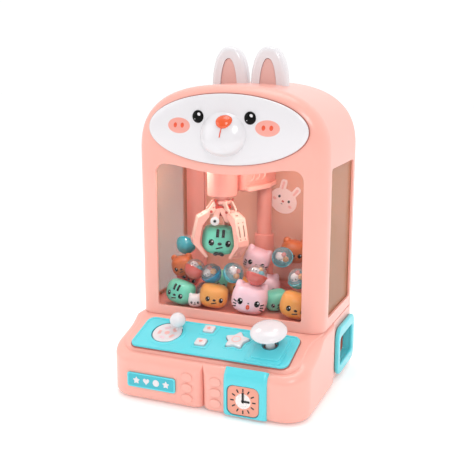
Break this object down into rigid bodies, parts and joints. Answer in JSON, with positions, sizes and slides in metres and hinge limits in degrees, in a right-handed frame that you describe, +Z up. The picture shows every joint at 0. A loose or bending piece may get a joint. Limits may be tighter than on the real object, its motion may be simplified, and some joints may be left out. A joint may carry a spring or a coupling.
{
  "type": "toy claw crane machine",
  "caption": "Tabletop toy claw crane in a rabbit-faced cabin: swinging, lifting three-prong claw, dial, buttons, joystick and side prize outlet.",
  "frame": {"origin": "on the table under the middle of the machine's bounding box", "axes": "+X to the machine's right as seen from the front, +Y to the back, +Z up; the controls face -Y"},
  "size_m": [0.239, 0.2242, 0.396],
  "materials": {
    "pink_plastic": "satin moulded ABS",
    "white_plastic": "glossy moulded ABS",
    "cyan_plastic": "satin moulded ABS",
    "clear_plastic": "clear sheet",
    "dusty_pink_plastic": "satin moulded ABS",
    "orange_plastic": "glossy moulded ABS",
    "black_plastic": "moulded ABS",
    "circuit_board": "solder-masked laminate",
    "battery": "battery sleeve",
    "motor_steel": "plated can",
    "mint_plastic": "moulded vinyl",
    "amber_plastic": "moulded vinyl",
    "pale_plastic": "moulded vinyl",
    "blue_plastic": "moulded capsule"
  },
  "bodies": {
    "cabinet": {"base_shell": "pink_plastic", "bottom_plate": "pink_plastic", "battery_door": "pink_plastic", "battery_pack": "battery", "circuit_board": "circuit_board", "speaker": "black_plastic", "control_panel": "cyan_plastic", "joystick_cup": "black_plastic", "clock_strap": "cyan_plastic", "clock_face": "dusty_pink_plastic", "name_plate": "cyan_plastic", "front_frame": "pink_plastic", "cabin_shell": "pink_plastic", "front_pane": "clear_plastic", "left_pane": "clear_plastic", "right_pane": "clear_plastic", "cabin_floor": "pink_plastic", "prize_chute": "pink_plastic", "outlet_frame": "cyan_plastic", "face_plate": "white_plastic", "muzzle": "white_plastic", "nose": "orange_plastic", "left_eye": "black_plastic", "right_eye": "black_plastic", "left_ear": "white_plastic", "left_inner_ear": "dusty_pink_plastic", "right_ear": "white_plastic", "right_inner_ear": "dusty_pink_plastic", "swing_motor": "motor_steel", "mint_prize": "mint_plastic", "amber_prize": "amber_plastic", "cat_prize": "pale_plastic", "bear_prize": "amber_plastic", "green_prize": "mint_plastic", "blue_capsule": "blue_plastic"},
    "turntable": {"mast_sleeve": "pink_plastic", "swing_gear": "white_plastic"},
    "motor_shaft": {"motor_pinion": "white_plastic"},
    "crane_head": {"mast_tube": "pink_plastic", "boom": "pink_plastic", "hub_housing": "pink_plastic", "claw_head": "pink_plastic", "held_prize": "mint_plastic"},
    "plunger": {"claw_plunger": "white_plastic"},
    "claw_prong_1": {"prong_1": "pink_plastic"},
    "claw_prong_2": {"prong_2": "pink_plastic"},
    "claw_prong_3": {"prong_3": "pink_plastic"},
    "dial": {"dial_plate": "white_plastic", "dial_knob": "white_plastic"},
    "music_key": {"music_button": "white_plastic"},
    "light_key": {"light_button": "white_plastic"},
    "star_key": {"star_button": "white_plastic"},
    "tilt_ring": {"joystick_ring": "black_plastic"},
    "stick": {"joystick": "white_plastic"},
    "switch_slider": {"power_switch": "black_plastic"},
    "refill_door": {"back_door": "pink_plastic", "back_pane": "clear_plastic", "door_latch": "cyan_plastic"},
    "hour_pointer": {"hour_hand": "black_plastic"},
    "minute_pointer": {"minute_hand": "black_plastic"}
  },
  "joints": [
    {"name": "crane_swing", "type": "hinge", "parent": "cabinet", "child": "turntable", "pos_m": [0, 0.09, 0.11], "axis": [0, 0, 1], "range_deg": [-15, 8]},
    {"name": "pinion_spin", "type": "hinge", "parent": "cabinet", "child": "motor_shaft", "pos_m": [-0.018, 0.09, 0.064], "axis": [0, 0, 1], "range_deg": [-18, 32]},
    {"name": "mast_lift", "type": "slide", "parent": "turntable", "child": "crane_head", "axis": [0, 0, 1], "range_m": [0, 0.03]},
    {"name": "claw_plunge", "type": "slide", "parent": "crane_head", "child": "plunger", "axis": [0, 0, -1], "range_m": [0, 0.002], "stiffness_N_per_m": 400, "springref_m": -0.002},
    {"name": "prong_1_pivot", "type": "hinge", "parent": "crane_head", "child": "claw_prong_1", "pos_m": [-0.03789, 0.00444, 0.204], "axis": [-0.5736, 0.8192, 0], "range_deg": [-1, 13]},
    {"name": "prong_2_pivot", "type": "hinge", "parent": "crane_head", "child": "claw_prong_2", "pos_m": [-0.02691, 0.02799, 0.204], "axis": [0.9962, 0.0872, 0], "range_deg": [-1, 13]},
    {"name": "prong_3_pivot", "type": "hinge", "parent": "crane_head", "child": "claw_prong_3", "pos_m": [-0.01201, 0.00671, 0.204], "axis": [-0.4226, -0.9063, 0], "range_deg": [-1, 13]},
    {"name": "dial_turn", "type": "hinge", "parent": "cabinet", "child": "dial", "pos_m": [-0.061, -0.06886, 0.0703], "axis": [0, -0.299, 0.9542], "range_deg": [-60, 60]},
    {"name": "music_press", "type": "slide", "parent": "cabinet", "child": "music_key", "axis": [0, 0.299, -0.9542], "range_m": [0, 0.0022], "stiffness_N_per_m": 300, "springref_m": -0.001},
    {"name": "light_press", "type": "slide", "parent": "cabinet", "child": "light_key", "axis": [0, 0.299, -0.9542], "range_m": [0, 0.0022], "stiffness_N_per_m": 300, "springref_m": -0.001},
    {"name": "star_press", "type": "slide", "parent": "cabinet", "child": "star_key", "axis": [0, 0.299, -0.9542], "range_m": [0, 0.0022], "stiffness_N_per_m": 300, "springref_m": -0.001},
    {"name": "stick_tilt_fore", "type": "hinge", "parent": "cabinet", "child": "tilt_ring", "pos_m": [0.0663, -0.06384, 0.0593], "axis": [1, 0, 0], "range_deg": [-7, 7], "stiffness_Nm_per_rad": 0.4},
    {"name": "stick_tilt_side", "type": "hinge", "parent": "tilt_ring", "child": "stick", "pos_m": [0.0663, -0.06384, 0.0593], "axis": [0, 0.9542, 0.299], "range_deg": [-7, 7], "stiffness_Nm_per_rad": 0.4},
    {"name": "power_slide", "type": "slide", "parent": "cabinet", "child": "switch_slider", "axis": [1, 0, 0], "range_m": [0, 0.004]},
    {"name": "door_swing", "type": "hinge", "parent": "cabinet", "child": "refill_door", "pos_m": [-0.0962, 0.1088, 0.1775], "axis": [0, 0, 1], "range_deg": [0, 110]},
    {"name": "hour_turn", "type": "hinge", "parent": "cabinet", "child": "hour_pointer", "pos_m": [0.051, -0.1115, 0.0225], "axis": [0, 1, 0], "continuous": true},
    {"name": "minute_turn", "type": "hinge", "parent": "cabinet", "child": "minute_pointer", "pos_m": [0.051, -0.1119, 0.0225], "axis": [0, 1, 0], "continuous": true}
  ],
  "couplings": [
    {"joint": "pinion_spin", "follows": "crane_swing", "ratio": -2},
    {"joint": "prong_1_pivot", "follows": "claw_plunge", "rad_per_m": 104.7},
    {"joint": "prong_2_pivot", "follows": "claw_plunge", "rad_per_m": 104.7},
    {"joint": "prong_3_pivot", "follows": "claw_plunge", "rad_per_m": 104.7}
  ]
}
